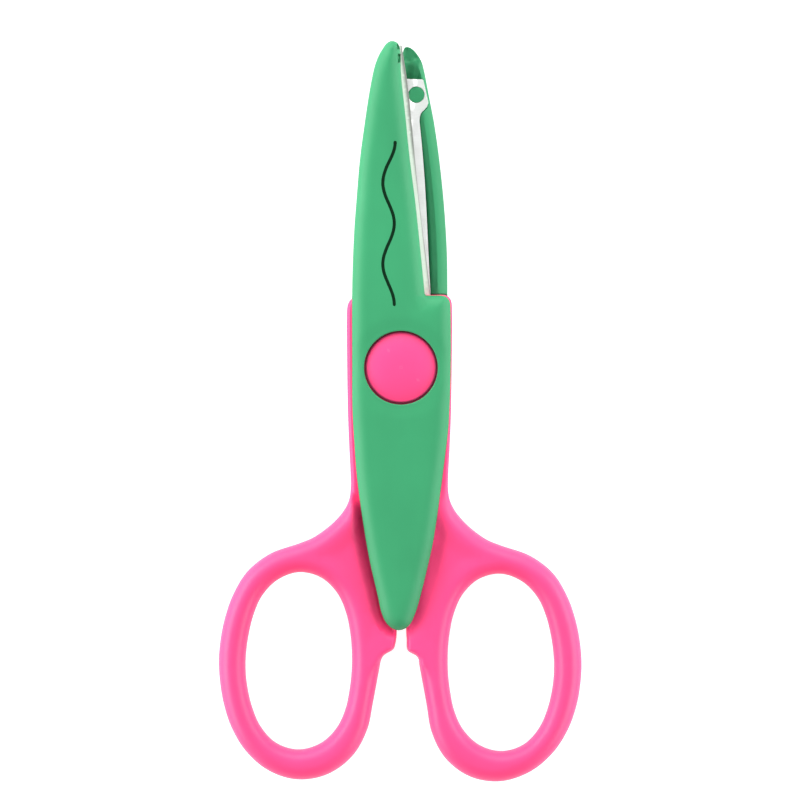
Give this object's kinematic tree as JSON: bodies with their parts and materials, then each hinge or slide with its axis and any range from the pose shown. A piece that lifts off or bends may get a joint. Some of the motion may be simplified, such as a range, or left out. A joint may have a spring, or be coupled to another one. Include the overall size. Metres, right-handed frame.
{
  "type": "decorative edge scissors",
  "caption": "Paper craft scissors with rippled steel blades, hollow green covers, pink handles with oval finger loops and a capped rivet pivot.",
  "frame": {"origin": "on the pivot axis, in the plane of the table that the rear shell lies on", "axes": "+Y from the pivot towards the blade tips, +Z along the pivot axis away from the table, +X towards the finger loop of the front half"},
  "size_m": [0.0656, 0.1348, 0.0112],
  "materials": {
    "green_plastic": "gloss",
    "pink_plastic": "gloss",
    "blade_steel": "satin",
    "rivet_steel": "satin",
    "mark_ink": "satin",
    "spacer_plastic": "satin"
  },
  "bodies": {
    "rear_half": {"rear_shell": "green_plastic", "rear_handle": "pink_plastic", "rear_blade": "blade_steel", "rear_pivot_cap": "pink_plastic", "rear_wave_mark": "mark_ink", "pivot_rivet": "rivet_steel", "spacer_washer": "spacer_plastic"},
    "front_half": {"front_shell": "green_plastic", "front_handle": "pink_plastic", "front_blade": "blade_steel", "front_pivot_cap": "pink_plastic", "front_wave_mark": "mark_ink", "rivet_washer": "rivet_steel"}
  },
  "joints": [
    {"name": "pivot", "type": "hinge", "parent": "rear_half", "child": "front_half", "pos_m": [0, 0, 0.0056], "axis": [0, 0, 1], "range_deg": [-1.9, 50]}
  ]
}
